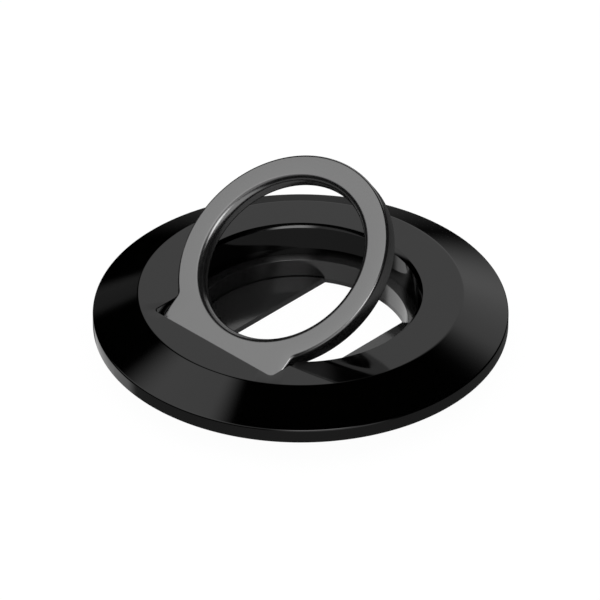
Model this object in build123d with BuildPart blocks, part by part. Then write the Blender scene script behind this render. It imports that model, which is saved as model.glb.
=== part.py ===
from build123d import *
import os
from math import cos, hypot, radians, sin, sqrt

# A phone ring holder: a low disc with a finger ring that folds into it, and a twist-lock hub beneath.
# Millimetres, +Z up. The origin is on the disc's axis, in the plane that the hub stands on.
# The ring's hinge runs along X, on the -Y side of the disc.

# Disc: a straight rim, a cone, a flat top and a round pocket for the ring
disc_r = 28.0
disc_h = 4.93
rim_h = 1.9
cone_w = 6.1
flat_w = 5.95
pocket_chamfer = 0.5
rim_edge = 0.1
cone_edge = 0.18

# Finger ring, leaning on its hinge as it stands in use
ring_lean = 35.5
ring_gap = 0.55
ring_band = 3.7
ring_t = 2.6
ring_shift = -0.04
ring_drop = 0.4
ring_inner_r = 1.0
ring_edge = 0.25
tab_w = 21.4
tab_tail = 2.1
tab_blend_r = 1.0
tab_corner_r = 0.6

# Hinge: the axle lies across the tab and ends in two cheeks of the disc
axle_r = 0.6
axle_web = 2.02
axle_depth = 2.09
axle_run = 0.03
axle_grip = 3.0
axle_end_gap = 0.05
seat_fit = 0.02
tab_side_gap = 0.25
tab_tail_gap = 0.4
recess_corner_r = 0.6
recess_mouth_r = 4.0

# Friction washers, one each side of the tab
washer_r = 1.4
washer_t = 0.35
washer_gap = 0.05
washer_rim_gap = 0.1

# Hub: a collar in the pocket, a flange under the disc, and two lips that a turned key locks behind
hub_drop = 3.3
hub_wall = 2.5
hub_chamfer = 0.4
ledge_w = 1.45
ledge_edge = 0.25
collar_h = 0.15
collar_fit = 0.03
flange_w = 5.2
flange_t = 1.2
flange_edge = 0.2
lip_t = 0.8
key_w = 14.9

# Screws through the flange, and the soft pad round it
screw_count = 6
screw_r = 0.8
screw_head_r = 1.5
screw_head_h = 0.7
screw_l = 3.6
screw_fit = 0.03
screw_tip_gap = 0.3
socket_w = 1.3
socket_depth = 0.5
pad_w = 3.2
pad_t = 1.4
pad_gap = 0.3
pad_edge = 0.2

# Levels and radii that follow
rim_z = hub_drop
top_z = rim_z + disc_h
flat_r = disc_r - cone_w
pocket_r = flat_r - flat_w
flange_z = rim_z - flange_t
hub_bore_r = pocket_r - ledge_w
hub_r = hub_bore_r + hub_wall
flange_r = hub_r + flange_w
screw_circle_r = hub_r + flange_w / 2

ring_r = pocket_r - ring_gap
ring_hole_r = ring_r - ring_band
ring_reach = ring_hole_r + axle_web
shoulder_y = sqrt(ring_r**2 - (tab_w / 2) ** 2)
face_over_axle = axle_depth - ring_drop
axle_y = ring_shift - ring_reach
axle_z = top_z - axle_depth

# The tab's tail swings round the axle, and the recess clears it
tail_swing = hypot(tab_tail, face_over_axle)
recess_y = axle_y - tail_swing - tab_tail_gap
recess_half = tab_w / 2 + tab_side_gap
mouth_y = sqrt(pocket_r**2 - recess_half**2)
spot_depth = washer_t + 2 * washer_gap - tab_side_gap
cheek_x = recess_half + spot_depth
axle_end_x = cheek_x + axle_grip

# The ring's own plane is its face, with its Y axis from the hinge towards the ring's far side
lean = radians(ring_lean)
along = Vector(0, cos(lean), sin(lean))
outward = Vector(0, -sin(lean), cos(lean))
axle_point = Vector(0, axle_y, axle_z)
ring_face = Plane(
    origin=axle_point + along * ring_reach + outward * face_over_axle,
    x_dir=(1, 0, 0),
    z_dir=outward,
)

# Planes across the hinge: local X is the disc's Y, and local Y is up
hinge_plane = Plane(origin=axle_point, x_dir=(0, 1, 0), z_dir=(1, 0, 0))
underside = Plane(origin=(0, 0, rim_z), x_dir=(1, 0, 0), z_dir=(0, 0, -1))
flange_face = Plane(origin=(0, 0, flange_z), x_dir=(1, 0, 0), z_dir=(0, 0, -1))
screw_start = 360 / screw_count / 2

# Disc body
with BuildPart() as housing:
    with BuildSketch(Plane.XZ) as disc_section:
        with BuildLine():
            Polyline(
                (0, rim_z),
                (disc_r, rim_z),
                (disc_r, rim_z + rim_h),
                (flat_r, top_z),
                (0, top_z),
                close=True,
            )
        make_face()
        rim_low, rim_high = disc_section.vertices().group_by(Axis.X)[-1].sort_by(Axis.Y)
        chamfer(rim_low, length=rim_edge)
        chamfer(disc_section.vertices().sort_by_distance(rim_high)[0], length=cone_edge)
    revolve(axis=Axis.Z)
    # The pocket, and the recess for the tab, whose mouth is rounded where the ring's shoulders pass
    with BuildSketch(Plane.XY.offset(rim_z)) as opening:
        Circle(pocket_r)
        Rectangle(2 * recess_half, -recess_y, align=(Align.CENTER, Align.MAX))
        fillet(opening.vertices().group_by(Axis.Y)[0], radius=recess_corner_r)
        mouth = opening.vertices().filter_by(lambda v: abs(v.Y + mouth_y) < seat_fit)
        fillet(mouth, radius=recess_mouth_r)
    extrude(amount=disc_h, mode=Mode.SUBTRACT)
    with BuildSketch(Plane.XY.offset(top_z - pocket_chamfer)):
        Circle(pocket_r)
    extrude(amount=pocket_chamfer, taper=-45, mode=Mode.SUBTRACT)
    # Seats for the axle, open to the underside
    with BuildSketch(hinge_plane):
        Circle(axle_r + seat_fit)
        Rectangle(2 * (axle_r + seat_fit), axle_z - rim_z, align=(Align.CENTER, Align.MAX))
    extrude(amount=axle_end_x, both=True, mode=Mode.SUBTRACT)
    # Spot faces for the washers
    with BuildSketch(hinge_plane):
        Circle(washer_r + washer_rim_gap)
    extrude(amount=cheek_x, both=True, mode=Mode.SUBTRACT)
    with Locations(underside):
        with PolarLocations(screw_circle_r, screw_count, start_angle=screw_start):
            Hole(screw_r + screw_fit, depth=screw_l - flange_t + screw_tip_gap)

# Finger ring with its hinge tab
with BuildPart() as finger_ring:
    with BuildSketch(ring_face) as ring_outline:
        Circle(ring_r)
        Rectangle(tab_w, ring_reach + tab_tail, align=(Align.CENTER, Align.MAX))
        tail_corners = ring_outline.vertices().group_by(Axis.Y)[0]
        fillet(tail_corners, radius=tab_corner_r)
        shoulders = ring_outline.vertices().filter_by(lambda v: abs(v.Y + shoulder_y) < seat_fit)
        fillet(shoulders, radius=tab_blend_r)
        Circle(ring_hole_r, mode=Mode.SUBTRACT)
    extrude(amount=-ring_t)
    flats = finger_ring.faces().filter_by(Axis(ring_face.origin, ring_face.z_dir))
    fillet([edge for flat in flats for edge in flat.inner_wires()[0].edges()], radius=ring_inner_r)
    flats = finger_ring.faces().filter_by(Axis(ring_face.origin, ring_face.z_dir))
    chamfer([edge for flat in flats for edge in flat.outer_wire().edges()], length=ring_edge)
    with BuildSketch(hinge_plane):
        Circle(axle_r + axle_run)
    extrude(amount=tab_w, both=True, mode=Mode.SUBTRACT)

# Axle
with BuildPart() as hinge_axle:
    with BuildSketch(hinge_plane):
        Circle(axle_r)
    extrude(amount=axle_end_x - axle_end_gap, both=True)

# Friction washers between the tab's sides and the cheeks
washers = {}
for side, sign in (("left", -1), ("right", 1)):
    with BuildPart() as washer:
        with BuildSketch(hinge_plane.offset(sign * (tab_w / 2 + washer_gap))):
            Circle(washer_r)
            Circle(axle_r + seat_fit, mode=Mode.SUBTRACT)
        extrude(amount=sign * washer_t)
    washers[f"friction_washer_{side}"] = washer

# Keepers that fill the axle's seats from below and bear on the flange
keepers = {}
for side, sign in (("left", -1), ("right", 1)):
    with BuildPart() as keeper:
        with BuildSketch(hinge_plane.offset(sign * cheek_x)):
            Rectangle(2 * axle_r, axle_z - rim_z, align=(Align.CENTER, Align.MAX))
            Circle(axle_r + seat_fit, mode=Mode.SUBTRACT)
        extrude(amount=sign * (axle_grip - axle_end_gap))
    keepers[f"axle_keeper_{side}"] = keeper

# Twist-lock hub
with BuildPart() as lock_hub:
    with BuildSketch(Plane.XZ) as hub_section:
        with BuildLine():
            Polyline(
                (0, 0),
                (hub_r, 0),
                (hub_r, flange_z),
                (flange_r, flange_z),
                (flange_r, rim_z),
                (pocket_r - collar_fit, rim_z),
                (pocket_r - collar_fit, rim_z + collar_h),
                (hub_bore_r, rim_z + collar_h),
                (hub_bore_r, lip_t),
                (0, lip_t),
                close=True,
            )
        make_face()
        foot = hub_section.vertices().group_by(Axis.Y)[0].sort_by(Axis.X)[-1]
        chamfer(foot, length=hub_chamfer)
        brim = hub_section.vertices().group_by(Axis.X)[-1].sort_by(Axis.Y)[0]
        chamfer(brim, length=flange_edge)
        ledge = hub_section.vertices().group_by(Axis.Y)[-1].sort_by(Axis.X)[0]
        chamfer(ledge, length=ledge_edge)
    revolve(axis=Axis.Z)
    # The key's way in: a round hole with two straight sides
    with BuildSketch(Plane.XY):
        Circle(hub_bore_r)
        Rectangle(key_w, 2 * hub_bore_r, mode=Mode.INTERSECT)
    extrude(amount=lip_t, mode=Mode.SUBTRACT)
    # The collar is open where the tab swings
    with BuildSketch(Plane.XY.offset(rim_z)):
        Rectangle(2 * recess_half, pocket_r, align=(Align.CENTER, Align.MAX))
    extrude(amount=collar_h, mode=Mode.SUBTRACT)
    with Locations(flange_face):
        with PolarLocations(screw_circle_r, screw_count, start_angle=screw_start):
            CounterSinkHole(
                screw_r + screw_fit,
                screw_head_r + screw_fit,
                depth=flange_t,
                counter_sink_angle=90,
            )

# Countersunk screws that hold the hub
with BuildPart() as hub_screws:
    with BuildSketch(Plane.XY.offset(flange_z)):
        with PolarLocations(screw_circle_r, screw_count, start_angle=screw_start):
            Circle(screw_head_r)
    extrude(amount=screw_head_h, taper=45)
    with BuildSketch(Plane.XY.offset(flange_z)):
        with PolarLocations(screw_circle_r, screw_count, start_angle=screw_start):
            Circle(screw_r)
    extrude(amount=screw_l)
    with BuildSketch(Plane.XY.offset(flange_z)):
        with PolarLocations(screw_circle_r, screw_count, start_angle=screw_start):
            RegularPolygon(socket_w / 2, 6, major_radius=False)
    extrude(amount=socket_depth, mode=Mode.SUBTRACT)

# Soft pad under the disc
with BuildPart() as grip_pad:
    with BuildSketch(Plane.XY.offset(rim_z)):
        Circle(flange_r + pad_gap + pad_w)
        Circle(flange_r + pad_gap, mode=Mode.SUBTRACT)
    extrude(amount=-pad_t)
    chamfer(grip_pad.edges().group_by(Axis.Z)[0], length=pad_edge)

os.makedirs("parts", exist_ok=True)
pieces = {
    "housing": housing,
    "finger_ring": finger_ring,
    "hinge_axle": hinge_axle,
    **washers,
    **keepers,
    "lock_hub": lock_hub,
    "hub_screws": hub_screws,
    "grip_pad": grip_pad,
}
for name, piece in pieces.items():
    piece.part.label = name
    export_step(piece.part, f"parts/{name}.step")
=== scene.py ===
import logging
from dataclasses import dataclass, field
from enum import Enum
from math import acos, atan2, cos, hypot, pi, radians, sin, sqrt, tan
from typing import Iterable, Sequence

import bmesh
import bpy
from mathutils import Matrix, Vector


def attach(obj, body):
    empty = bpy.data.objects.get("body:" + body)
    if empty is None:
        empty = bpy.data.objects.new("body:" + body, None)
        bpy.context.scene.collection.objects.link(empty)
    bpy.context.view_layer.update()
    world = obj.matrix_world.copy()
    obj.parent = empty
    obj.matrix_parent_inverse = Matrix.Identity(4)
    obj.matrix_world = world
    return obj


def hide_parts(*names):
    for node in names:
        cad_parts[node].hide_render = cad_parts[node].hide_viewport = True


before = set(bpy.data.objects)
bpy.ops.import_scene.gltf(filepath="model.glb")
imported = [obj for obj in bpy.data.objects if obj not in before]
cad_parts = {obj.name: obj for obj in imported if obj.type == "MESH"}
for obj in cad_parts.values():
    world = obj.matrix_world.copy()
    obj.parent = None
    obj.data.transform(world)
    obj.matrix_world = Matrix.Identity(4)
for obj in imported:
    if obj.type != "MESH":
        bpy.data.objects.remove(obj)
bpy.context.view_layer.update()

MM = 0.001
LOG = logging.getLogger("ring_holder")
WELD = 1e-7
FLAT_WEIGHT = 90

Point = tuple[float, float, float]
Flat = tuple[float, float]
Colour = tuple[float, float, float]
Outline = list[tuple[Flat, Flat]]


class Body(Enum):
    """The rigid bodies that pieces ride on."""

    BASE = "base"
    RING = "ring"


class Slot(Enum):
    """The record's material slots."""

    DISC = "disc_black"
    RING = "ring_black"
    HUB = "hub_black"
    AXLE = "axle_steel"
    KEEPER = "keeper_metal"
    SCREW = "screw_steel"
    WASHER = "washer_plastic"
    PAD = "pad_rubber"


class Grain(Enum):
    """How a finish's grain runs, as its stretch along X, Y and Z."""

    EVEN = (1.0, 1.0, 1.0)
    TURNED = (1.0, 1.0, 6.0)
    DRAWN = (0.08, 1.0, 1.0)


def socket_named(sockets: Iterable[bpy.types.NodeSocket], name: str) -> bpy.types.NodeSocket:
    """Find a node's socket by its name.

    Args:
        sockets: The inputs or outputs of a node.
        name: The socket's name.

    Returns:
        The first socket of that name that is in use.
    """
    return next(s for s in sockets if s.name == name and s.enabled)


class GrainGroup:
    """A shader node group of fine grain, shared by every finish."""

    NAME = "surface_grain"
    NOISE_RANGE = (0.35, 0.65)
    FINE_SHARE = 0.5

    @classmethod
    def get(cls) -> bpy.types.ShaderNodeTree:
        """Build the group once, and return it after that.

        Returns:
            The group. It puts out Rough, a roughness, Mottle, a factor for colour, and Height, for a bump.
        """
        if cls.NAME in bpy.data.node_groups:
            return bpy.data.node_groups[cls.NAME]
        tree = bpy.data.node_groups.new(cls.NAME, "ShaderNodeTree")
        face = tree.interface
        for name, value in (("Fineness", 1500.0), ("Stretch X", 1.0), ("Stretch Y", 1.0), ("Stretch Z", 1.0),
                            ("Rough Low", 0.1), ("Rough High", 0.2), ("Patch Size", 120.0)):
            face.new_socket(name, in_out="INPUT", socket_type="NodeSocketFloat").default_value = value
        for name in ("Rough", "Mottle", "Height"):
            face.new_socket(name, in_out="OUTPUT", socket_type="NodeSocketFloat")
        nodes, links = tree.nodes, tree.links
        given = nodes.new("NodeGroupInput")
        out = nodes.new("NodeGroupOutput")
        where = nodes.new("ShaderNodeTexCoord")
        stretch = nodes.new("ShaderNodeCombineXYZ")
        for axis in "XYZ":
            links.new(given.outputs[f"Stretch {axis}"], stretch.inputs[axis])
        run = nodes.new("ShaderNodeVectorMath")
        run.operation = "MULTIPLY"
        links.new(where.outputs["Object"], run.inputs[0])
        links.new(stretch.outputs["Vector"], run.inputs[1])
        fine = nodes.new("ShaderNodeTexNoise")
        fine.inputs["Detail"].default_value = 2.0
        links.new(run.outputs["Vector"], fine.inputs["Vector"])
        links.new(given.outputs["Fineness"], fine.inputs["Scale"])
        patch = nodes.new("ShaderNodeTexNoise")
        patch.inputs["Detail"].default_value = 4.0
        links.new(where.outputs["Object"], patch.inputs["Vector"])
        links.new(given.outputs["Patch Size"], patch.inputs["Scale"])
        blend = nodes.new("ShaderNodeMath")
        blend.operation = "MULTIPLY_ADD"
        blend.inputs[1].default_value = cls.FINE_SHARE
        links.new(fine.outputs["Fac"], blend.inputs[0])
        rest = nodes.new("ShaderNodeMath")
        rest.operation = "MULTIPLY"
        rest.inputs[1].default_value = 1.0 - cls.FINE_SHARE
        links.new(patch.outputs["Fac"], rest.inputs[0])
        links.new(rest.outputs["Value"], blend.inputs[2])
        rough = nodes.new("ShaderNodeMapRange")
        rough.inputs["From Min"].default_value, rough.inputs["From Max"].default_value = cls.NOISE_RANGE
        links.new(blend.outputs["Value"], rough.inputs["Value"])
        links.new(given.outputs["Rough Low"], rough.inputs["To Min"])
        links.new(given.outputs["Rough High"], rough.inputs["To Max"])
        links.new(rough.outputs["Result"], out.inputs["Rough"])
        links.new(patch.outputs["Fac"], out.inputs["Mottle"])
        links.new(fine.outputs["Fac"], out.inputs["Height"])
        return tree


@dataclass(frozen=True)
class Finish:
    """One surface finish, as a procedural material.

    Attributes:
        name: The material's name.
        dark: The colour of the darker patches.
        light: The colour of the lighter patches.
        rough: The lowest and highest roughness.
        metallic: 1 for bare metal, 0 for a lacquer, an oxide skin, plastic or rubber.
        ior: The refractive index of a surface that isn't metal.
        fineness: The grain's size, as noise per metre.
        grain: How the grain runs.
        bump: The depth of the grain in metres.
    """

    name: str
    dark: Colour
    light: Colour
    rough: tuple[float, float]
    metallic: float = 0.0
    ior: float = 1.5
    fineness: float = 2500.0
    grain: Grain = Grain.EVEN
    bump: float = 0.0

    def material(self) -> bpy.types.Material:
        """Build the material once, and return it after that.

        Returns:
            The finish as a material.
        """
        if self.name in bpy.data.materials:
            return bpy.data.materials[self.name]
        made = bpy.data.materials.new(self.name)
        made.use_nodes = True
        nodes, links = made.node_tree.nodes, made.node_tree.links
        skin = nodes["Principled BSDF"]
        skin.inputs["Metallic"].default_value = self.metallic
        skin.inputs["IOR"].default_value = self.ior
        grain = nodes.new("ShaderNodeGroup")
        grain.node_tree = GrainGroup.get()
        grain.inputs["Fineness"].default_value = self.fineness
        grain.inputs["Rough Low"].default_value = self.rough[0]
        grain.inputs["Rough High"].default_value = self.rough[1]
        for axis, value in zip("XYZ", self.grain.value):
            grain.inputs[f"Stretch {axis}"].default_value = value
        tint = nodes.new("ShaderNodeMix")
        tint.data_type = "RGBA"
        socket_named(tint.inputs, "A").default_value = (*self.dark, 1.0)
        socket_named(tint.inputs, "B").default_value = (*self.light, 1.0)
        links.new(grain.outputs["Mottle"], socket_named(tint.inputs, "Factor"))
        links.new(socket_named(tint.outputs, "Result"), skin.inputs["Base Color"])
        links.new(grain.outputs["Rough"], skin.inputs["Roughness"])
        if self.bump:
            bump = nodes.new("ShaderNodeBump")
            bump.inputs["Strength"].default_value = 1.0
            bump.inputs["Distance"].default_value = self.bump
            links.new(grain.outputs["Height"], bump.inputs["Height"])
            links.new(bump.outputs["Normal"], skin.inputs["Normal"])
        return made


def grey(level: float) -> Colour:
    """Make a neutral colour of a given level."""
    return (level, level, level)


GLOSS_BLACK = Finish("gloss_black_oxide", grey(0.0003), grey(0.0005), (0.04, 0.07))
RING_BLACK = Finish("satin_black_oxide", grey(0.008), grey(0.010), (0.17, 0.22), ior=2.6)
HUB_BLACK = Finish("hub_black_oxide", grey(0.009), grey(0.012), (0.12, 0.17), ior=2.2)
LIP_BLACK = Finish("lip_black_oxide", grey(0.020), grey(0.024), (0.11, 0.15), ior=1.8)
BRIGHT_STEEL = Finish("ground_steel", (0.50, 0.50, 0.51), (0.60, 0.60, 0.61), (0.18, 0.30), metallic=1.0,
                      grain=Grain.TURNED)
KEEPER_METAL = Finish("milled_metal", (0.46, 0.46, 0.47), (0.55, 0.55, 0.56), (0.25, 0.40), metallic=1.0,
                      grain=Grain.DRAWN)
BLACK_STEEL = Finish("blackened_steel", (0.035, 0.035, 0.036), (0.06, 0.06, 0.062), (0.28, 0.42),
                     metallic=1.0)
WASHER_DARK = Finish("washer_plastic", (0.016, 0.016, 0.017), (0.024, 0.024, 0.025), (0.40, 0.55), ior=1.35)
PAD_BLACK = Finish("pad_rubber", grey(0.012), grey(0.022), (0.62, 0.80), fineness=3500.0, bump=2e-5)


def mesh_object(name: str, points: Sequence[Point], faces: Sequence[Sequence[int]]) -> bpy.types.Object:
    """Make a mesh object at the origin, with its faces pointing outwards.

    Args:
        name: The object's name.
        points: The vertices in millimetres.
        faces: Each face's vertices by number. An empty list makes a closed line of the points.

    Returns:
        The object, linked to the scene.
    """
    mesh = bpy.data.meshes.new(name)
    scaled = [tuple(c * MM for c in p) for p in points]
    edges = [] if faces else [(i, (i + 1) % len(points)) for i in range(len(points))]
    mesh.from_pydata(scaled, edges, faces)
    if faces:
        work = bmesh.new()
        work.from_mesh(mesh)
        bmesh.ops.recalc_face_normals(work, faces=work.faces)
        work.to_mesh(mesh)
        work.free()
    made = bpy.data.objects.new(name, mesh)
    bpy.context.scene.collection.objects.link(made)
    return made


def skin_object(name: str, rings: Sequence[Sequence[Point]], endless: bool = False) -> bpy.types.Object:
    """Skin a row of closed rings that have the same number of points.

    Args:
        name: The object's name.
        rings: The rings in millimetres.
        endless: Whether the last ring is joined to the first. If not, both ends are closed.

    Returns:
        The object.
    """
    count, around = len(rings), len(rings[0])
    faces: list[Sequence[int]] = []
    for k in range(count if endless else count - 1):
        low, high = k * around, ((k + 1) % count) * around
        for i in range(around):
            j = (i + 1) % around
            faces.append((low + i, low + j, high + j, high + i))
    if not endless:
        faces += [tuple(range(around)), tuple(range((count - 1) * around, count * around))]
    return mesh_object(name, [p for ring in rings for p in ring], faces)


def settle(piece: bpy.types.Object, sharp: float = 32.0) -> None:
    """Turn a piece's modifiers into its plain mesh, shaded smooth between its sharp edges.

    Args:
        piece: The object to finish.
        sharp: The angle in degrees past which an edge stays sharp.
    """
    graph = bpy.context.evaluated_depsgraph_get()
    plain = bpy.data.meshes.new_from_object(piece.evaluated_get(graph), depsgraph=graph)
    piece.modifiers.clear()
    piece.data = plain
    work = bmesh.new()
    work.from_mesh(plain)
    bmesh.ops.remove_doubles(work, verts=work.verts, dist=WELD)
    bmesh.ops.dissolve_degenerate(work, edges=work.edges, dist=WELD)
    bmesh.ops.recalc_face_normals(work, faces=work.faces)
    work.to_mesh(plain)
    work.free()
    plain.shade_smooth()
    plain.set_sharp_from_angle(angle=radians(sharp))
    weigh = piece.modifiers.new("weigh", "WEIGHTED_NORMAL")
    weigh.mode = "FACE_AREA"
    weigh.weight = FLAT_WEIGHT
    weigh.keep_sharp = True
    graph = bpy.context.evaluated_depsgraph_get()
    weighed = bpy.data.meshes.new_from_object(piece.evaluated_get(graph), depsgraph=graph)
    piece.modifiers.clear()
    piece.data = weighed
    weighed.name = piece.name


def dress(piece: bpy.types.Object, finish: Finish, body: Body, nodes: Sequence[str]) -> None:
    """Give a finished piece its material, its body and the nodes that it stands for.

    Args:
        piece: The finished object.
        finish: Its finish.
        body: The body that it rides on.
        nodes: The solids that it replaces.
    """
    piece.data.materials.clear()
    piece.data.materials.append(finish.material())
    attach(piece, body.value)
    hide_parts(*nodes)
    LOG.info("%s: %d faces, rides on %s", piece.name, len(piece.data.polygons), body.value)


def dress_node(node: str, finish: Finish) -> None:
    """Give a solid that is shown as it is a finish.

    Args:
        node: The node's name.
        finish: Its finish.
    """
    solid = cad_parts[node]
    solid.data.materials.clear()
    solid.data.materials.append(finish.material())
    LOG.info("%s: shown as built", node)


def corner_arc(corner: Flat, before: Flat, after: Flat, radius: float, steps: int) -> list[Flat]:
    """Round a corner of a section.

    Args:
        corner: The sharp corner.
        before: A point on the line that comes in.
        after: A point on the line that goes out.
        radius: The fillet's radius.
        steps: How many parts the arc has.

    Returns:
        The arc's points, from the line that comes in to the one that goes out.
    """
    a = Vector((before[0] - corner[0], before[1] - corner[1])).normalized()
    b = Vector((after[0] - corner[0], after[1] - corner[1])).normalized()
    half = acos(max(-1.0, min(1.0, a.dot(b)))) / 2
    middle = Vector(corner) + (a + b).normalized() * (radius / sin(half))
    start = Vector(corner) + a * (radius / tan(half)) - middle
    end = Vector(corner) + b * (radius / tan(half)) - middle
    sweep = atan2(start.x * end.y - start.y * end.x, start.dot(end))
    arc = []
    for i in range(steps + 1):
        turn = sweep * i / steps
        arc.append((middle.x + start.x * cos(turn) - start.y * sin(turn),
                    middle.y + start.x * sin(turn) + start.y * cos(turn)))
    return arc


@dataclass
class KeyholeOutline:
    """A circle joined to a rectangle on its -Y side, with rounded corners and a rounded mouth.

    Attributes:
        circle_r: The circle's radius.
        half_w: Half the rectangle's width.
        end_y: The rectangle's far edge.
        corner_r: The radius of its far corners.
        mouth_r: The radius where its sides meet the circle.
        step: The distance between points.
    """

    circle_r: float
    half_w: float
    end_y: float
    corner_r: float
    mouth_r: float
    step: float = 0.2

    def points(self) -> Outline:
        """Walk round the outline.

        Returns:
            Points and outward normals, anticlockwise from the mouth's +X side.
        """
        reach = self.circle_r + self.mouth_r
        mouth = (self.half_w + self.mouth_r, -sqrt(reach**2 - (self.half_w + self.mouth_r) ** 2))
        start = atan2(mouth[1], mouth[0])
        walk: Outline = []
        self._arc(walk, (0.0, 0.0), self.circle_r, start, pi - start, 1.0)
        self._arc(walk, (-mouth[0], mouth[1]), self.mouth_r, -start, 0.0, -1.0)
        low = self.end_y + self.corner_r
        inner = self.half_w - self.corner_r
        self._line(walk, (-self.half_w, mouth[1]), (-self.half_w, low), (-1.0, 0.0))
        self._arc(walk, (-inner, low), self.corner_r, pi, 1.5 * pi, 1.0, 8)
        self._line(walk, (-inner, self.end_y), (inner, self.end_y), (0.0, -1.0))
        self._arc(walk, (inner, low), self.corner_r, -0.5 * pi, 0.0, 1.0, 8)
        self._line(walk, (self.half_w, low), (self.half_w, mouth[1]), (1.0, 0.0))
        self._arc(walk, mouth, self.mouth_r, pi, pi + start, -1.0)
        return walk

    def _arc(self, walk: Outline, centre: Flat, radius: float, begin: float, end: float, out: float,
             least: int = 6) -> None:
        """Add an arc without its last point.

        Args:
            walk: The points so far.
            centre: The arc's centre.
            radius: Its radius.
            begin: Its first angle.
            end: Its last angle.
            out: 1 where the outline's outside is away from the centre, -1 where it is towards it.
            least: The fewest parts that it may have.
        """
        parts = max(least, int(abs(end - begin) * radius / self.step))
        for i in range(parts):
            turn = begin + (end - begin) * i / parts
            way = (cos(turn), sin(turn))
            spot = (centre[0] + radius * way[0], centre[1] + radius * way[1])
            walk.append((spot, (out * way[0], out * way[1])))

    def _line(self, walk: Outline, begin: Flat, end: Flat, normal: Flat) -> None:
        """Add a straight run without its last point.

        Args:
            walk: The points so far.
            begin: The run's first point.
            end: Its last point.
            normal: The outward normal.
        """
        parts = max(1, int(hypot(end[0] - begin[0], end[1] - begin[1]) / self.step))
        for i in range(parts):
            f = i / parts
            walk.append(((begin[0] + (end[0] - begin[0]) * f, begin[1] + (end[1] - begin[1]) * f), normal))


@dataclass
class Disc:
    """The low disc: rim, cone, flat top, round pocket and the recess for the ring's tab."""

    radius: float = 28.0
    base_z: float = 3.3
    height: float = 4.93
    rim_h: float = 1.9
    flat_r: float = 21.9
    pocket_r: float = 15.95
    chamfer: float = 0.5
    recess_half: float = 10.95
    recess_y: float = -16.855
    recess_corner_r: float = 0.6
    mouth_r: float = 4.0
    rim_edge_r: float = 0.08
    cone_edge_r: float = 0.3
    flat_edge_r: float = 0.6
    brink_r: float = 0.06
    brink_share: float = 0.8
    edge_break: float = 0.08
    outline: KeyholeOutline = field(init=False)

    def __post_init__(self) -> None:
        """Lay out the opening in the flat top."""
        self.outline = KeyholeOutline(self.pocket_r, self.recess_half, self.recess_y, self.recess_corner_r,
                                      self.mouth_r)

    @property
    def top_z(self) -> float:
        """The level of the flat top."""
        return self.base_z + self.height

    def shell_section(self) -> list[Flat]:
        """Trace the disc's outside from the underside to the flat top.

        Returns:
            Radii and levels.
        """
        low = (self.radius, self.base_z)
        high = (self.radius, self.base_z + self.rim_h)
        flat = (self.flat_r, self.top_z)
        section = corner_arc(low, (0.0, self.base_z), high, self.rim_edge_r, 5)
        section += corner_arc(high, low, flat, self.cone_edge_r, 6)
        section += corner_arc(flat, high, (0.0, self.top_z), self.flat_edge_r, 5)
        return section

    def brink(self, width: float) -> list[Flat]:
        """Trace the opening's edge from the flat top down to its wall.

        Args:
            width: The chamfer's width there.

        Returns:
            Distances out from the wall, and levels.
        """
        round_r = min(self.brink_r, width * self.brink_share)
        top, wall = (width, self.top_z), (0.0, self.top_z - width)
        edge = corner_arc(top, (width + 1.0, self.top_z), wall, round_r, 4)
        edge += corner_arc(wall, top, (0.0, self.base_z), round_r, 4)
        return edge

    def build(self) -> bpy.types.Object:
        """Skin the disc from the shell and the opening.

        Returns:
            The finished mesh object.
        """
        walk = self.outline.points()
        turns = [atan2(p[1], p[0]) for p, _ in walk]
        rings = [[(p[0], p[1], self.base_z) for p, _ in walk]]
        for r, z in self.shell_section():
            rings.append([(r * cos(t), r * sin(t), z) for t in turns])
        widths = [max(self.edge_break, self.pocket_r + self.chamfer - hypot(*p)) for p, _ in walk]
        edges = [self.brink(w) for w in widths]
        for k in range(len(edges[0])):
            rings.append([(p[0] + n[0] * e[k][0], p[1] + n[1] * e[k][0], e[k][1])
                          for (p, n), e in zip(walk, edges)])
        piece = skin_object("disc", rings, endless=True)
        settle(piece)
        return piece

    def dress(self, piece: bpy.types.Object) -> None:
        """Finish the disc in gloss black."""
        dress(piece, GLOSS_BLACK, Body.BASE, ["housing"])


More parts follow.
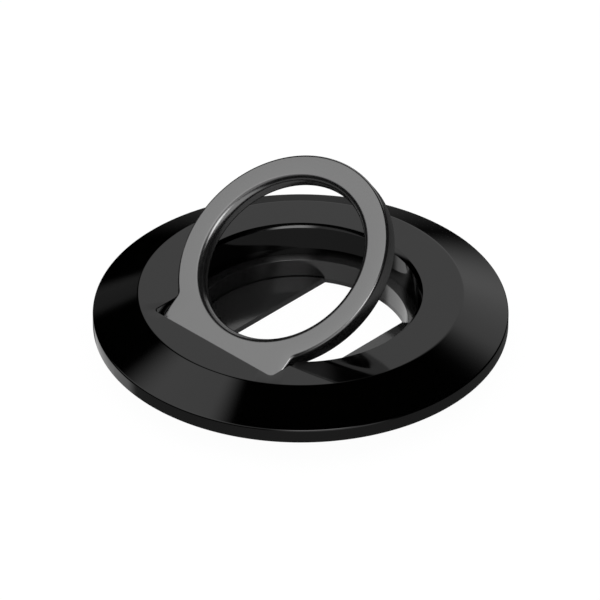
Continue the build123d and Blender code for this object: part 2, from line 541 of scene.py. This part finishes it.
@dataclass
class FingerRing:
    """The finger ring and its hinge tab, one plate with rounded edges."""

    radius: float = 15.4
    hole_r: float = 11.7
    thick: float = 2.6
    hole_edge_r: float = 1.0
    outer_edge_r: float = 0.37
    tab_half: float = 10.7
    tail_y: float = -15.82
    tail_corner_r: float = 0.6
    blend_r: float = 1.0
    lean: float = 35.5
    reach: float = 13.72
    face_over_axle: float = 1.69
    axle_y: float = -13.76
    axle_z: float = 6.14
    bore_r: float = 0.63

    def place(self) -> Matrix:
        """Find the ring's own frame.

        Returns:
            The matrix from the ring's face, centred in its hole, to the object's frame, in millimetres.
        """
        lean = radians(self.lean)
        along = Vector((0.0, cos(lean), sin(lean)))
        out = Vector((0.0, -sin(lean), cos(lean)))
        origin = Vector((0.0, self.axle_y, self.axle_z)) + along * self.reach + out * self.face_over_axle
        turn = Matrix((Vector((1.0, 0.0, 0.0)), along, out)).transposed().to_4x4()
        return Matrix.Translation(origin) @ turn

    def build(self) -> bpy.types.Object:
        """Skin the plate, and bore it for the axle.

        Returns:
            The finished mesh object.
        """
        outline = KeyholeOutline(self.radius, self.tab_half, self.tail_y, self.tail_corner_r, self.blend_r)
        walk = outline.points()
        turns = [atan2(p[1], p[0]) for p, _ in walk]
        place = self.place()
        rings: list[list[Point]] = []
        back = -self.thick
        hole = corner_arc((self.hole_r, 0.0), (self.radius, 0.0), (self.hole_r, back), self.hole_edge_r, 12)
        hole += corner_arc((self.hole_r, back), (self.hole_r, 0.0), (self.radius, back), self.hole_edge_r, 12)
        for r, d in hole:
            rings.append([tuple(place @ Vector((r * cos(t), r * sin(t), d))) for t in turns])
        rim = corner_arc((0.0, back), (-1.0, back), (0.0, 0.0), self.outer_edge_r, 7)
        rim += corner_arc((0.0, 0.0), (0.0, back), (-1.0, 0.0), self.outer_edge_r, 7)
        for o, d in rim:
            rings.append([tuple(place @ Vector((p[0] + n[0] * o, p[1] + n[1] * o, d))) for p, n in walk])
        piece = skin_object("finger_ring_look", rings, endless=True)
        drill = self._drill()
        cut = piece.modifiers.new("bore", "BOOLEAN")
        cut.operation = "DIFFERENCE"
        cut.solver = "EXACT"
        cut.object = drill
        settle(piece)
        bpy.data.objects.remove(drill)
        return piece

    def _drill(self) -> bpy.types.Object:
        """Make the rod that cuts the axle's bore.

        Returns:
            The cutter, which the caller removes.
        """
        sides, overrun = 40, 2.0
        turns = [2 * pi * i / sides for i in range(sides)]
        ring = [(self.axle_y + self.bore_r * cos(t), self.axle_z + self.bore_r * sin(t)) for t in turns]
        ends = (-self.tab_half - overrun, self.tab_half + overrun)
        return skin_object("axle_drill", [[(x, y, z) for y, z in ring] for x in ends])

    def dress(self, piece: bpy.types.Object) -> None:
        """Finish the ring in satin black."""
        dress(piece, RING_BLACK, Body.RING, ["finger_ring"])


class TurnedTree:
    """A Geometry Nodes tree that turns a section round the Z axis."""

    NAME = "turned_body"

    @classmethod
    def get(cls) -> bpy.types.GeometryNodeTree:
        """Build the tree once, and return it after that.

        Returns:
            The tree. It takes a closed line, drawn as distance out from Path Radius and depth.
        """
        if cls.NAME in bpy.data.node_groups:
            return bpy.data.node_groups[cls.NAME]
        tree = bpy.data.node_groups.new(cls.NAME, "GeometryNodeTree")
        face = tree.interface
        face.new_socket("Geometry", in_out="INPUT", socket_type="NodeSocketGeometry")
        face.new_socket("Path Radius", in_out="INPUT", socket_type="NodeSocketFloat").default_value = 0.02
        face.new_socket("Segments", in_out="INPUT", socket_type="NodeSocketInt").default_value = 256
        face.new_socket("Material", in_out="INPUT", socket_type="NodeSocketMaterial")
        face.new_socket("Geometry", in_out="OUTPUT", socket_type="NodeSocketGeometry")
        nodes, links = tree.nodes, tree.links
        given, out = nodes.new("NodeGroupInput"), nodes.new("NodeGroupOutput")
        section = nodes.new("GeometryNodeMeshToCurve")
        links.new(given.outputs["Geometry"], section.inputs["Mesh"])
        path = nodes.new("GeometryNodeCurvePrimitiveCircle")
        links.new(given.outputs["Path Radius"], path.inputs["Radius"])
        links.new(given.outputs["Segments"], path.inputs["Resolution"])
        sweep = nodes.new("GeometryNodeCurveToMesh")
        links.new(path.outputs["Curve"], sweep.inputs["Curve"])
        links.new(section.outputs["Curve"], sweep.inputs["Profile Curve"])
        real = nodes.new("GeometryNodeRealizeInstances")
        links.new(sweep.outputs["Mesh"], real.inputs["Geometry"])
        paint = nodes.new("GeometryNodeSetMaterial")
        links.new(real.outputs["Geometry"], paint.inputs["Geometry"])
        links.new(given.outputs["Material"], paint.inputs["Material"])
        links.new(paint.outputs["Geometry"], out.inputs["Geometry"])
        return tree


class PolarTree:
    """A Geometry Nodes tree that repeats a piece round a circle."""

    NAME = "polar_row"

    @classmethod
    def get(cls) -> bpy.types.GeometryNodeTree:
        """Build the tree once, and return it after that.

        Returns:
            The tree. It takes one piece, drawn at the origin.
        """
        if cls.NAME in bpy.data.node_groups:
            return bpy.data.node_groups[cls.NAME]
        tree = bpy.data.node_groups.new(cls.NAME, "GeometryNodeTree")
        face = tree.interface
        face.new_socket("Geometry", in_out="INPUT", socket_type="NodeSocketGeometry")
        face.new_socket("Circle Radius", in_out="INPUT", socket_type="NodeSocketFloat").default_value = 0.02
        face.new_socket("Count", in_out="INPUT", socket_type="NodeSocketInt").default_value = 6
        face.new_socket("First Angle", in_out="INPUT", socket_type="NodeSocketFloat").default_value = 0.0
        face.new_socket("Material", in_out="INPUT", socket_type="NodeSocketMaterial")
        face.new_socket("Geometry", in_out="OUTPUT", socket_type="NodeSocketGeometry")
        nodes, links = tree.nodes, tree.links
        given, out = nodes.new("NodeGroupInput"), nodes.new("NodeGroupOutput")
        circle = nodes.new("GeometryNodeMeshCircle")
        links.new(given.outputs["Count"], circle.inputs["Vertices"])
        links.new(given.outputs["Circle Radius"], circle.inputs["Radius"])
        angle = nodes.new("ShaderNodeCombineXYZ")
        links.new(given.outputs["First Angle"], angle.inputs["Z"])
        spin = nodes.new("GeometryNodeTransform")
        links.new(circle.outputs["Mesh"], spin.inputs["Geometry"])
        links.new(angle.outputs["Vector"], spin.inputs["Rotation"])
        place = nodes.new("GeometryNodeInstanceOnPoints")
        links.new(spin.outputs["Geometry"], place.inputs["Points"])
        links.new(given.outputs["Geometry"], place.inputs["Instance"])
        real = nodes.new("GeometryNodeRealizeInstances")
        links.new(place.outputs["Instances"], real.inputs["Geometry"])
        paint = nodes.new("GeometryNodeSetMaterial")
        links.new(real.outputs["Geometry"], paint.inputs["Geometry"])
        links.new(given.outputs["Material"], paint.inputs["Material"])
        links.new(paint.outputs["Geometry"], out.inputs["Geometry"])
        return tree


def add_tree(piece: bpy.types.Object, tree: bpy.types.GeometryNodeTree, values: dict[str, object]) -> None:
    """Put a Geometry Nodes tree on a piece, with its inputs set by their identifiers.

    Args:
        piece: The object that the tree works on.
        tree: The tree.
        values: The inputs by name.
    """
    live = piece.modifiers.new(tree.name, "NODES")
    live.node_group = tree
    names = {s.name: s.identifier for s in tree.interface.items_tree if s.in_out == "INPUT"}
    for name, value in values.items():
        live[names[name]] = value


def turned_object(name: str, section: Sequence[Flat], finish: Finish,
                  segments: int = 288) -> bpy.types.Object:
    """Turn a section round the Z axis.

    Args:
        name: The object's name.
        section: The closed section, as radii and levels in millimetres.
        finish: The finish to set in the tree.
        segments: How many parts the turn has.

    Returns:
        The object, with the turn still a modifier.
    """
    path_r = sum(r for r, _ in section) / len(section)
    piece = mesh_object(name, [(r - path_r, -z, 0.0) for r, z in section], [])
    add_tree(piece, TurnedTree.get(), {
        "Path Radius": path_r * MM, "Segments": segments, "Material": finish.material(),
    })
    return piece


@dataclass
class ScrewRow:
    """The six countersunk screws, and the countersinks that they sit in."""

    count: int = 6
    circle_r: float = 19.6
    first: float = 30.0
    face_z: float = 2.1
    head_r: float = 1.5
    shank_r: float = 0.8
    length: float = 3.6
    socket_w: float = 1.3
    socket_depth: float = 0.5
    fit: float = 0.03
    sides: int = 36

    def _stack(self, name: str, rings: Sequence[tuple[float, float, int]]) -> bpy.types.Object:
        """Skin a closed stack of rings, each round or six-sided, with both ends closed.

        Args:
            name: The object's name.
            rings: Radius, level and number of sides of each ring.

        Returns:
            The object.
        """
        stack: list[list[Point]] = []
        for r, z, sides in rings:
            part = 2 * pi / sides
            ring: list[Point] = []
            for i in range(self.sides):
                turn = 2 * pi * i / self.sides
                reach = r if sides == self.sides else r / cos((turn % part) - part / 2)
                ring.append((reach * cos(turn), reach * sin(turn), z))
            stack.append(ring)
        return skin_object(name, stack)

    def _repeat(self, piece: bpy.types.Object) -> None:
        """Set one screw or cutter round the screw circle."""
        add_tree(piece, PolarTree.get(), {
            "Circle Radius": self.circle_r * MM, "Count": self.count, "First Angle": radians(self.first),
            "Material": BLACK_STEEL.material(),
        })

    def build(self) -> bpy.types.Object:
        """Make one screw and repeat it.

        Returns:
            The finished mesh object.
        """
        z = self.face_z
        neck = z + self.head_r - self.shank_r
        flat = self.socket_w / 2
        piece = self._stack("hub_screw_row", [
            (flat, z + self.socket_depth, 6), (flat, z, 6), (self.head_r, z, self.sides),
            (self.shank_r, neck, self.sides), (self.shank_r, z + self.length, self.sides),
        ])
        self._repeat(piece)
        settle(piece)
        return piece

    def cutter(self) -> bpy.types.Object:
        """Make the row of countersinks to cut from the hub.

        Returns:
            The cutter, which the caller removes.
        """
        z = self.face_z
        wide, narrow = self.head_r + self.fit, self.shank_r + self.fit
        overrun, depth = 0.5, 2.5
        piece = self._stack("countersink_row", [
            (wide + overrun, z - overrun, self.sides), (narrow, z + wide - narrow, self.sides),
            (narrow, z + depth, self.sides),
        ])
        self._repeat(piece)
        return piece

    def dress(self, piece: bpy.types.Object) -> None:
        """Finish the screws in blackened steel."""
        dress(piece, BLACK_STEEL, Body.BASE, ["hub_screws"])


@dataclass
class LockHub:
    """The twist-lock hub: collar, flange, bore and two lips."""

    screws: ScrewRow
    radius: float = 17.0
    bore_r: float = 14.5
    rim_z: float = 3.3
    collar_r: float = 15.92
    collar_h: float = 0.15
    ledge_edge_r: float = 0.05
    flange_r: float = 22.2
    flange_z: float = 2.1
    flange_edge: float = 0.2
    foot_edge: float = 0.4
    lip_z: float = 0.8
    groove: float = 0.22
    key_w: float = 14.9
    notch_half: float = 10.95
    notch_y: float = -2.5
    core_r: float = 2.0
    key_inset: float = 0.01
    overrun: float = 1.0
    margin: float = 0.05

    def build(self) -> bpy.types.Object:
        """Turn the hub, then cut the key's way, the collar's notch and the countersinks.

        Returns:
            The finished mesh object.
        """
        ledge_z = self.rim_z + self.collar_h
        section = [
            (self.core_r, 0.0), (self.radius - self.foot_edge, 0.0), (self.radius, self.foot_edge),
            (self.radius, self.flange_z), (self.flange_r - self.flange_edge, self.flange_z),
            (self.flange_r, self.flange_z + self.flange_edge), (self.flange_r, self.rim_z),
            (self.collar_r, self.rim_z), (self.collar_r, ledge_z),
        ]
        ledge, root = (self.bore_r, ledge_z), (self.bore_r, self.lip_z)
        section += corner_arc(ledge, (self.collar_r, ledge_z), root, self.ledge_edge_r, 3)
        groove_r, groove_z = self.bore_r - self.groove, self.lip_z - self.groove
        section += [(self.bore_r, groove_z), (groove_r, groove_z), (groove_r, self.lip_z)]
        section.append((self.core_r, self.lip_z))
        piece = turned_object("lock_hub_look", section, HUB_BLACK)
        cutters = [self._key(), self._notch(), self.screws.cutter()]
        for tool in cutters:
            cut = piece.modifiers.new(tool.name, "BOOLEAN")
            cut.operation = "DIFFERENCE"
            cut.solver = "EXACT"
            cut.object = tool
        settle(piece)
        for tool in cutters:
            bpy.data.objects.remove(tool)
        return piece

    def _key(self) -> bpy.types.Object:
        """Make the prism that cuts the key's way in.

        Returns:
            The cutter.
        """
        r, half = self.bore_r - self.key_inset, self.key_w / 2
        span = acos(half / r)
        parts = 96
        side = [span + (pi - 2 * span) * i / parts for i in range(parts + 1)]
        ring = [(r * cos(t), r * sin(t)) for t in side] + [(-r * cos(t), -r * sin(t)) for t in side]
        return self._prism("key_cutter", ring, -self.overrun, self.lip_z + self.overrun)

    def _notch(self) -> bpy.types.Object:
        """Make the block that opens the collar where the tab swings.

        Returns:
            The cutter.
        """
        h, far, near = self.notch_half, -self.collar_r - self.overrun, self.notch_y
        ring = [(-h, far), (h, far), (h, near), (-h, near)]
        return self._prism("notch_cutter", ring, self.rim_z, self.rim_z + self.overrun)

    @staticmethod
    def _prism(name: str, ring: Sequence[Flat], low: float, high: float) -> bpy.types.Object:
        """Raise a plan outline between two levels.

        Args:
            name: The object's name.
            ring: The outline.
            low: The lower level.
            high: The upper level.

        Returns:
            The closed prism.
        """
        return skin_object(name, [[(x, y, z) for x, y in ring] for z in (low, high)])

    def dress(self, piece: bpy.types.Object) -> None:
        """Finish the hub in black, and its lips in a duller black.

        Args:
            piece: The finished object.
        """
        dress(piece, HUB_BLACK, Body.BASE, ["lock_hub"])
        piece.data.materials.append(LIP_BLACK.material())
        for face in piece.data.polygons:
            x, y, z = (c / MM for c in face.center)
            if hypot(x, y) < self.bore_r and self.margin < z < self.lip_z + self.margin:
                face.material_index = 1


@dataclass
class GripPad:
    """The soft ring round the hub."""

    inner_r: float = 22.5
    outer_r: float = 25.7
    top_z: float = 3.3
    thick: float = 1.4
    edge_r: float = 0.2

    def build(self) -> bpy.types.Object:
        """Turn the pad's section.

        Returns:
            The finished mesh object.
        """
        low = self.top_z - self.thick
        inner, outer = (self.inner_r, low), (self.outer_r, low)
        begin, end = (self.inner_r, self.top_z), (self.outer_r, self.top_z)
        section = [begin]
        section += corner_arc(inner, begin, outer, self.edge_r, 4)
        section += corner_arc(outer, inner, end, self.edge_r, 4)
        section.append(end)
        piece = turned_object("grip_pad_look", section, PAD_BLACK, 240)
        settle(piece)
        return piece

    def dress(self, piece: bpy.types.Object) -> None:
        """Finish the pad in rubber."""
        dress(piece, PAD_BLACK, Body.BASE, ["grip_pad"])


class HingeHardware:
    """The axle, washers and keepers, which are shown as built."""

    FINISHES = {
        "hinge_axle": BRIGHT_STEEL,
        "friction_washer_left": WASHER_DARK,
        "friction_washer_right": WASHER_DARK,
        "axle_keeper_left": KEEPER_METAL,
        "axle_keeper_right": KEEPER_METAL,
    }

    def dress(self) -> None:
        """Finish each piece of the hinge."""
        for node, finish in self.FINISHES.items():
            dress_node(node, finish)


@dataclass(frozen=True)
class Softbox:
    """A lit panel of the light tent, in degrees.

    Attributes:
        azimuth: The way to its middle, to the right of the way the camera looks.
        elevation: Its middle's height above the horizon.
        half_w: Half its width.
        half_h: Half its height.
        fade_w: The width of its soft edge at the sides, half of it inside.
        fade_h: The width of its soft edge above and below.
        level: Its brightness, where 1 is white.
    """

    azimuth: float
    elevation: float
    half_w: float
    half_h: float
    fade_w: float
    fade_h: float
    level: float


@dataclass
class Studio:
    """The floor, the light tent, the world and the camera."""

    azimuth: float = 44.3
    elevation: float = 34.65
    distance: float = 1.0
    lens_px: float = 7434.0
    frame_px: float = 600.0
    sensor_mm: float = 36.0
    clip: Flat = (0.01, 50.0)
    aim_right: float = -0.085
    aim_z: float = 6.812
    floor_half: float = 3.0
    floor_z: float = -0.05
    floor_bounce: float = 0.85
    floor_shade: float = 0.05
    floor_glow: float = 0.97
    sky_level: float = 0.85
    tent_r: float = 5.0
    ground_front: float = 0.27
    ground_back: float = 0.062
    horizon: Flat = (-0.34, -0.05)
    panels: tuple[Softbox, ...] = (
        # At the left: the key, and its fill towards the camera
        Softbox(-80.0, 50.0, 18.0, 21.5, 11.0, 7.0, 1.04),
        Softbox(-130.0, 52.0, 22.0, 20.0, 16.0, 16.0, 0.6),
        # Behind: the backdrop, and a faint gleam beside it
        Softbox(17.0, 26.0, 23.0, 21.0, 7.0, 24.0, 0.69),
        Softbox(-27.0, 16.5, 5.0, 5.0, 5.0, 5.0, 0.11),
        # In front: a lamp over the camera, and a wide sheet below it
        Softbox(170.0, 52.0, 13.0, 10.0, 14.0, 14.0, 4.4),
        Softbox(164.0, 14.0, 26.0, 26.0, 20.0, 20.0, 0.9),
        # Low behind at the left, for the rim and the hub's wall
        Softbox(-45.0, -34.0, 22.4, 12.0, 8.0, 10.0, 0.68),
    )

    @property
    def right(self) -> Vector:
        """The camera's right, level with the floor."""
        return Vector((cos(radians(self.azimuth)), sin(radians(self.azimuth)), 0.0))

    @property
    def away(self) -> Vector:
        """The way the camera looks, level with the floor."""
        return Vector((-sin(radians(self.azimuth)), cos(radians(self.azimuth)), 0.0))

    def build(self) -> None:
        """Set up everything round the object."""
        self.camera()
        self.world()
        self.floor()
        self.tent()

    def camera(self) -> None:
        """Stand the camera where the photograph was taken from."""
        data = bpy.data.cameras.new("camera")
        data.sensor_fit = "HORIZONTAL"
        data.sensor_width = self.sensor_mm
        data.lens = self.lens_px / self.frame_px * self.sensor_mm
        data.clip_start, data.clip_end = self.clip
        eye = bpy.data.objects.new("camera", data)
        bpy.context.scene.collection.objects.link(eye)
        lift = radians(self.elevation)
        aim = self.right * (self.aim_right * MM) + Vector((0.0, 0.0, self.aim_z * MM))
        back, up = self.away * (self.distance * cos(lift)), Vector((0.0, 0.0, self.distance * sin(lift)))
        eye.location = aim - back + up
        eye.rotation_euler = (aim - eye.location).to_track_quat("-Z", "Y").to_euler()
        bpy.context.scene.camera = eye
        bpy.context.scene.view_settings.view_transform = "Standard"

    @staticmethod
    def seen_rays(nodes: bpy.types.Nodes, links: bpy.types.NodeLinks) -> bpy.types.NodeSocket:
        """Find the rays that show the background: camera, glossy and transmission.

        Args:
            nodes: The nodes of a material or the world.
            links: Its links.

        Returns:
            A socket that is 1 for those rays.
        """
        kinds = nodes.new("ShaderNodeLightPath").outputs
        both = Studio._math(nodes, links, "MAXIMUM", kinds["Is Camera Ray"], kinds["Is Glossy Ray"])
        return Studio._math(nodes, links, "MAXIMUM", both, kinds["Is Transmission Ray"])

    def world(self) -> None:
        """Light the scene evenly, with white behind it."""
        world = bpy.data.worlds.new("studio")
        bpy.context.scene.world = world
        world.use_nodes = True
        nodes, links = world.node_tree.nodes, world.node_tree.links
        sky = nodes["Background"]
        sky.inputs["Color"].default_value = (1.0, 1.0, 1.0, 1.0)
        level = nodes.new("ShaderNodeMapRange")
        level.inputs["To Min"].default_value = self.sky_level
        level.inputs["To Max"].default_value = 1.0
        links.new(self.seen_rays(nodes, links), level.inputs["Value"])
        links.new(level.outputs["Result"], sky.inputs["Strength"])

    def floor(self) -> None:
        """Lay a white floor that keeps the object's shadow."""
        h, z = self.floor_half / MM, self.floor_z
        floor = mesh_object("floor", [(-h, -h, z), (h, -h, z), (h, h, z), (-h, h, z)], [(0, 1, 2, 3)])
        paint = bpy.data.materials.new("floor_white")
        paint.use_nodes = True
        nodes, links = paint.node_tree.nodes, paint.node_tree.links
        nodes.remove(nodes["Principled BSDF"])
        plain = nodes.new("ShaderNodeBsdfDiffuse")
        plain.inputs["Color"].default_value = (*grey(self.floor_bounce), 1.0)
        shade = nodes.new("ShaderNodeBsdfDiffuse")
        shade.inputs["Color"].default_value = (*grey(self.floor_shade), 1.0)
        glow = nodes.new("ShaderNodeEmission")
        glow.inputs["Strength"].default_value = self.floor_glow
        both = nodes.new("ShaderNodeAddShader")
        links.new(shade.outputs["BSDF"], both.inputs[0])
        links.new(glow.outputs["Emission"], both.inputs[1])
        pick = nodes.new("ShaderNodeMixShader")
        links.new(self.seen_rays(nodes, links), pick.inputs["Fac"])
        links.new(plain.outputs["BSDF"], pick.inputs[1])
        links.new(both.outputs["Shader"], pick.inputs[2])
        links.new(pick.outputs["Shader"], nodes["Material Output"].inputs["Surface"])
        floor.data.materials.append(paint)
        floor.visible_glossy = False

    def tent(self) -> None:
        """Stand a dark tent with lit panels round the object, which only its reflections show."""
        rows, around = 24, 48
        turns = [2 * pi * i / around for i in range(around)]
        size = self.tent_r / MM
        rings: list[list[Point]] = []
        for k in range(rows):
            lift = -0.5 * pi + pi * (k + 0.5) / rows
            reach, level = size * cos(lift), size * sin(lift)
            rings.append([(reach * cos(t), reach * sin(t), level) for t in turns])
        tent = skin_object("light_tent", rings)
        cloth = bpy.data.materials.new("tent_cloth")
        cloth.use_nodes = True
        nodes, links = cloth.node_tree.nodes, cloth.node_tree.links
        nodes.remove(nodes["Principled BSDF"])
        glow = nodes.new("ShaderNodeEmission")
        links.new(self._panels(nodes, links), glow.inputs["Strength"])
        links.new(glow.outputs["Emission"], nodes["Material Output"].inputs["Surface"])
        tent.data.materials.append(cloth)
        tent.visible_camera = False
        tent.visible_diffuse = False
        tent.visible_shadow = False
        tent.visible_transmission = False

    @staticmethod
    def _fade(nodes: bpy.types.Nodes, links: bpy.types.NodeLinks, value: bpy.types.NodeSocket, near: float,
              far: float, level: float) -> bpy.types.NodeSocket:
        """Fade a brightness out with distance.

        Args:
            nodes: The nodes to add to.
            links: Their links.
            value: The distance's socket.
            near: Where it begins to fade.
            far: Where it is gone.
            level: The full brightness.

        Returns:
            The brightness's socket.
        """
        made = nodes.new("ShaderNodeMapRange")
        made.interpolation_type = "SMOOTHSTEP"
        made.inputs["From Min"].default_value = near
        made.inputs["From Max"].default_value = far
        made.inputs["To Min"].default_value = level
        made.inputs["To Max"].default_value = 0.0
        links.new(value, made.inputs["Value"])
        return made.outputs["Result"]

    def _panels(self, nodes: bpy.types.Nodes, links: bpy.types.NodeLinks) -> bpy.types.NodeSocket:
        """Paint the panels on the tent by direction.

        Args:
            nodes: The cloth's nodes.
            links: Its links.

        Returns:
            The tent's brightness.
        """
        where = nodes.new("ShaderNodeTexCoord")
        total = self._ground(nodes, links, where.outputs["Object"])
        for panel in self.panels:
            turn, lift = radians(panel.azimuth), radians(panel.elevation)
            level = self.right * sin(turn) + self.away * cos(turn)
            middle = level * cos(lift) + Vector((0.0, 0.0, sin(lift)))
            side = middle.cross(Vector((0.0, 0.0, 1.0))).normalized()
            rise = side.cross(middle)
            depth = self._dot(nodes, links, where.outputs["Object"], middle)
            lit: bpy.types.NodeSocket | None = None
            extents = ((side, panel.half_w, panel.fade_w), (rise, panel.half_h, panel.fade_h))
            for axis, half, fade in extents:
                run = self._dot(nodes, links, where.outputs["Object"], axis)
                angle = self._math(nodes, links, "ARCTAN2", run, depth)
                size = nodes.new("ShaderNodeMath")
                size.operation = "ABSOLUTE"
                links.new(angle, size.inputs[0])
                near, far = radians(half - fade / 2), radians(half + fade / 2)
                edge = self._fade(nodes, links, size.outputs["Value"], near, far, 1.0)
                lit = edge if lit is None else self._math(nodes, links, "MULTIPLY", lit, edge)
            scaled = nodes.new("ShaderNodeMath")
            scaled.operation = "MULTIPLY"
            scaled.inputs[1].default_value = panel.level
            links.new(lit, scaled.inputs[0])
            total = self._math(nodes, links, "ADD", total, scaled.outputs["Value"])
        return total

    def _ground(self, nodes: bpy.types.Nodes, links: bpy.types.NodeLinks,
                where: bpy.types.NodeSocket) -> bpy.types.NodeSocket:
        """Paint the tent's lower half, lighter at the front than behind.

        Args:
            nodes: The cloth's nodes.
            links: Its links.
            where: The place on the tent.

        Returns:
            The ground's brightness.
        """
        level = nodes.new("ShaderNodeMapRange")
        level.inputs["From Min"].default_value = -self.tent_r
        level.inputs["From Max"].default_value = self.tent_r
        level.inputs["To Min"].default_value = self.ground_front
        level.inputs["To Max"].default_value = self.ground_back
        links.new(self._dot(nodes, links, where, self.away), level.inputs["Value"])
        height = self._dot(nodes, links, where, Vector((0.0, 0.0, 1.0)))
        low, high = (part * self.tent_r for part in self.horizon)
        below = self._fade(nodes, links, height, low, high, 1.0)
        return self._math(nodes, links, "MULTIPLY", level.outputs["Result"], below)

    @staticmethod
    def _dot(nodes: bpy.types.Nodes, links: bpy.types.NodeLinks, vector: bpy.types.NodeSocket,
             axis: Vector) -> bpy.types.NodeSocket:
        """Measure a vector along an axis.

        Args:
            nodes: The nodes to add to.
            links: Their links.
            vector: The vector's socket.
            axis: The axis.

        Returns:
            The dot product's socket.
        """
        made = nodes.new("ShaderNodeVectorMath")
        made.operation = "DOT_PRODUCT"
        made.inputs[1].default_value = axis
        links.new(vector, made.inputs[0])
        return made.outputs["Value"]

    @staticmethod
    def _math(nodes: bpy.types.Nodes, links: bpy.types.NodeLinks, operation: str, a: bpy.types.NodeSocket,
              b: bpy.types.NodeSocket) -> bpy.types.NodeSocket:
        """Join two values.

        Args:
            nodes: The nodes to add to.
            links: Their links.
            operation: What to do with them.
            a: The first value.
            b: The second value.

        Returns:
            The result's socket.
        """
        made = nodes.new("ShaderNodeMath")
        made.operation = operation
        links.new(a, made.inputs[0])
        links.new(b, made.inputs[1])
        return made.outputs["Value"]


def main() -> None:
    """Build and dress the object, piece by piece, then the studio."""
    logging.basicConfig(level=logging.INFO, format="%(name)s %(message)s")
    screws = ScrewRow()
    for part in (Disc(), FingerRing(), LockHub(screws), screws, GripPad()):
        part.dress(part.build())
    HingeHardware().dress()
    Studio().build()


if __name__ == "__main__":
    main()
